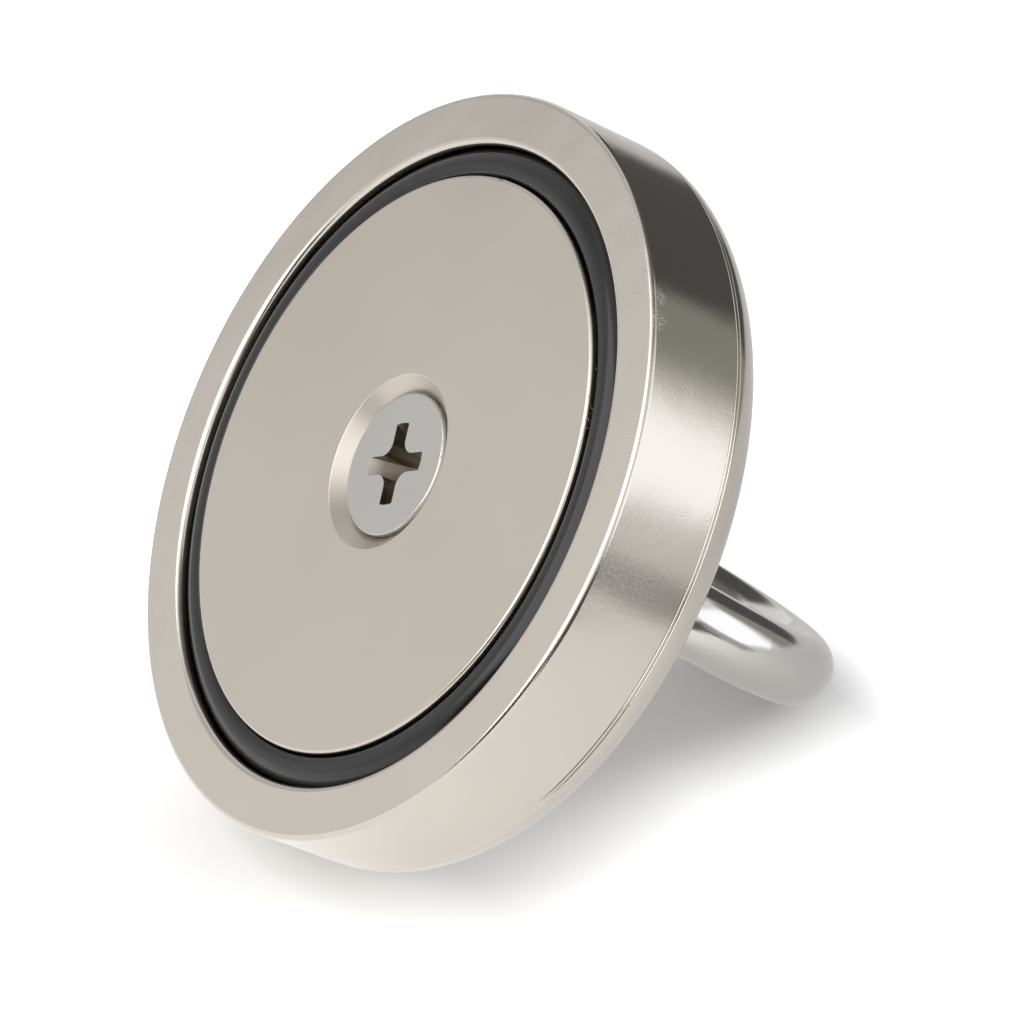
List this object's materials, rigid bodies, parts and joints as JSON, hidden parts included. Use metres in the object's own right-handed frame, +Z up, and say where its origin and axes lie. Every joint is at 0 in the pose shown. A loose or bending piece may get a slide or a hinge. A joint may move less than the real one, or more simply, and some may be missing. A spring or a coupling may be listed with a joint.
{
  "type": "fishing magnet",
  "caption": "Round retrieval magnet: a plated magnet disc in a steel cup, held by a countersunk screw, with an eye at the back for a rope.",
  "frame": {"origin": "on the floor, under the middle of the part's length and width as it rests", "axes": "+Z up; +X across the part, in the plane of the magnet's face; -Y is the side that the face leans towards and looks out of, +Y the side of the eye"},
  "size_m": [0.08, 0.0706, 0.0709],
  "materials": {
    "plated_cup": "satin nickel plating, turned",
    "plated_magnet": "satin nickel plating",
    "black_ring": "satin black",
    "screw_steel": "zinc plated, satin",
    "washer_steel": "plain steel",
    "polished_eye": "polished steel"
  },
  "bodies": {
    "root": {"cup": "plated_cup", "magnet": "plated_magnet", "spacer_ring": "black_ring", "screw": "screw_steel", "lock_washer": "washer_steel", "eye_nut": "polished_eye"}
  },
  "joints": []
}
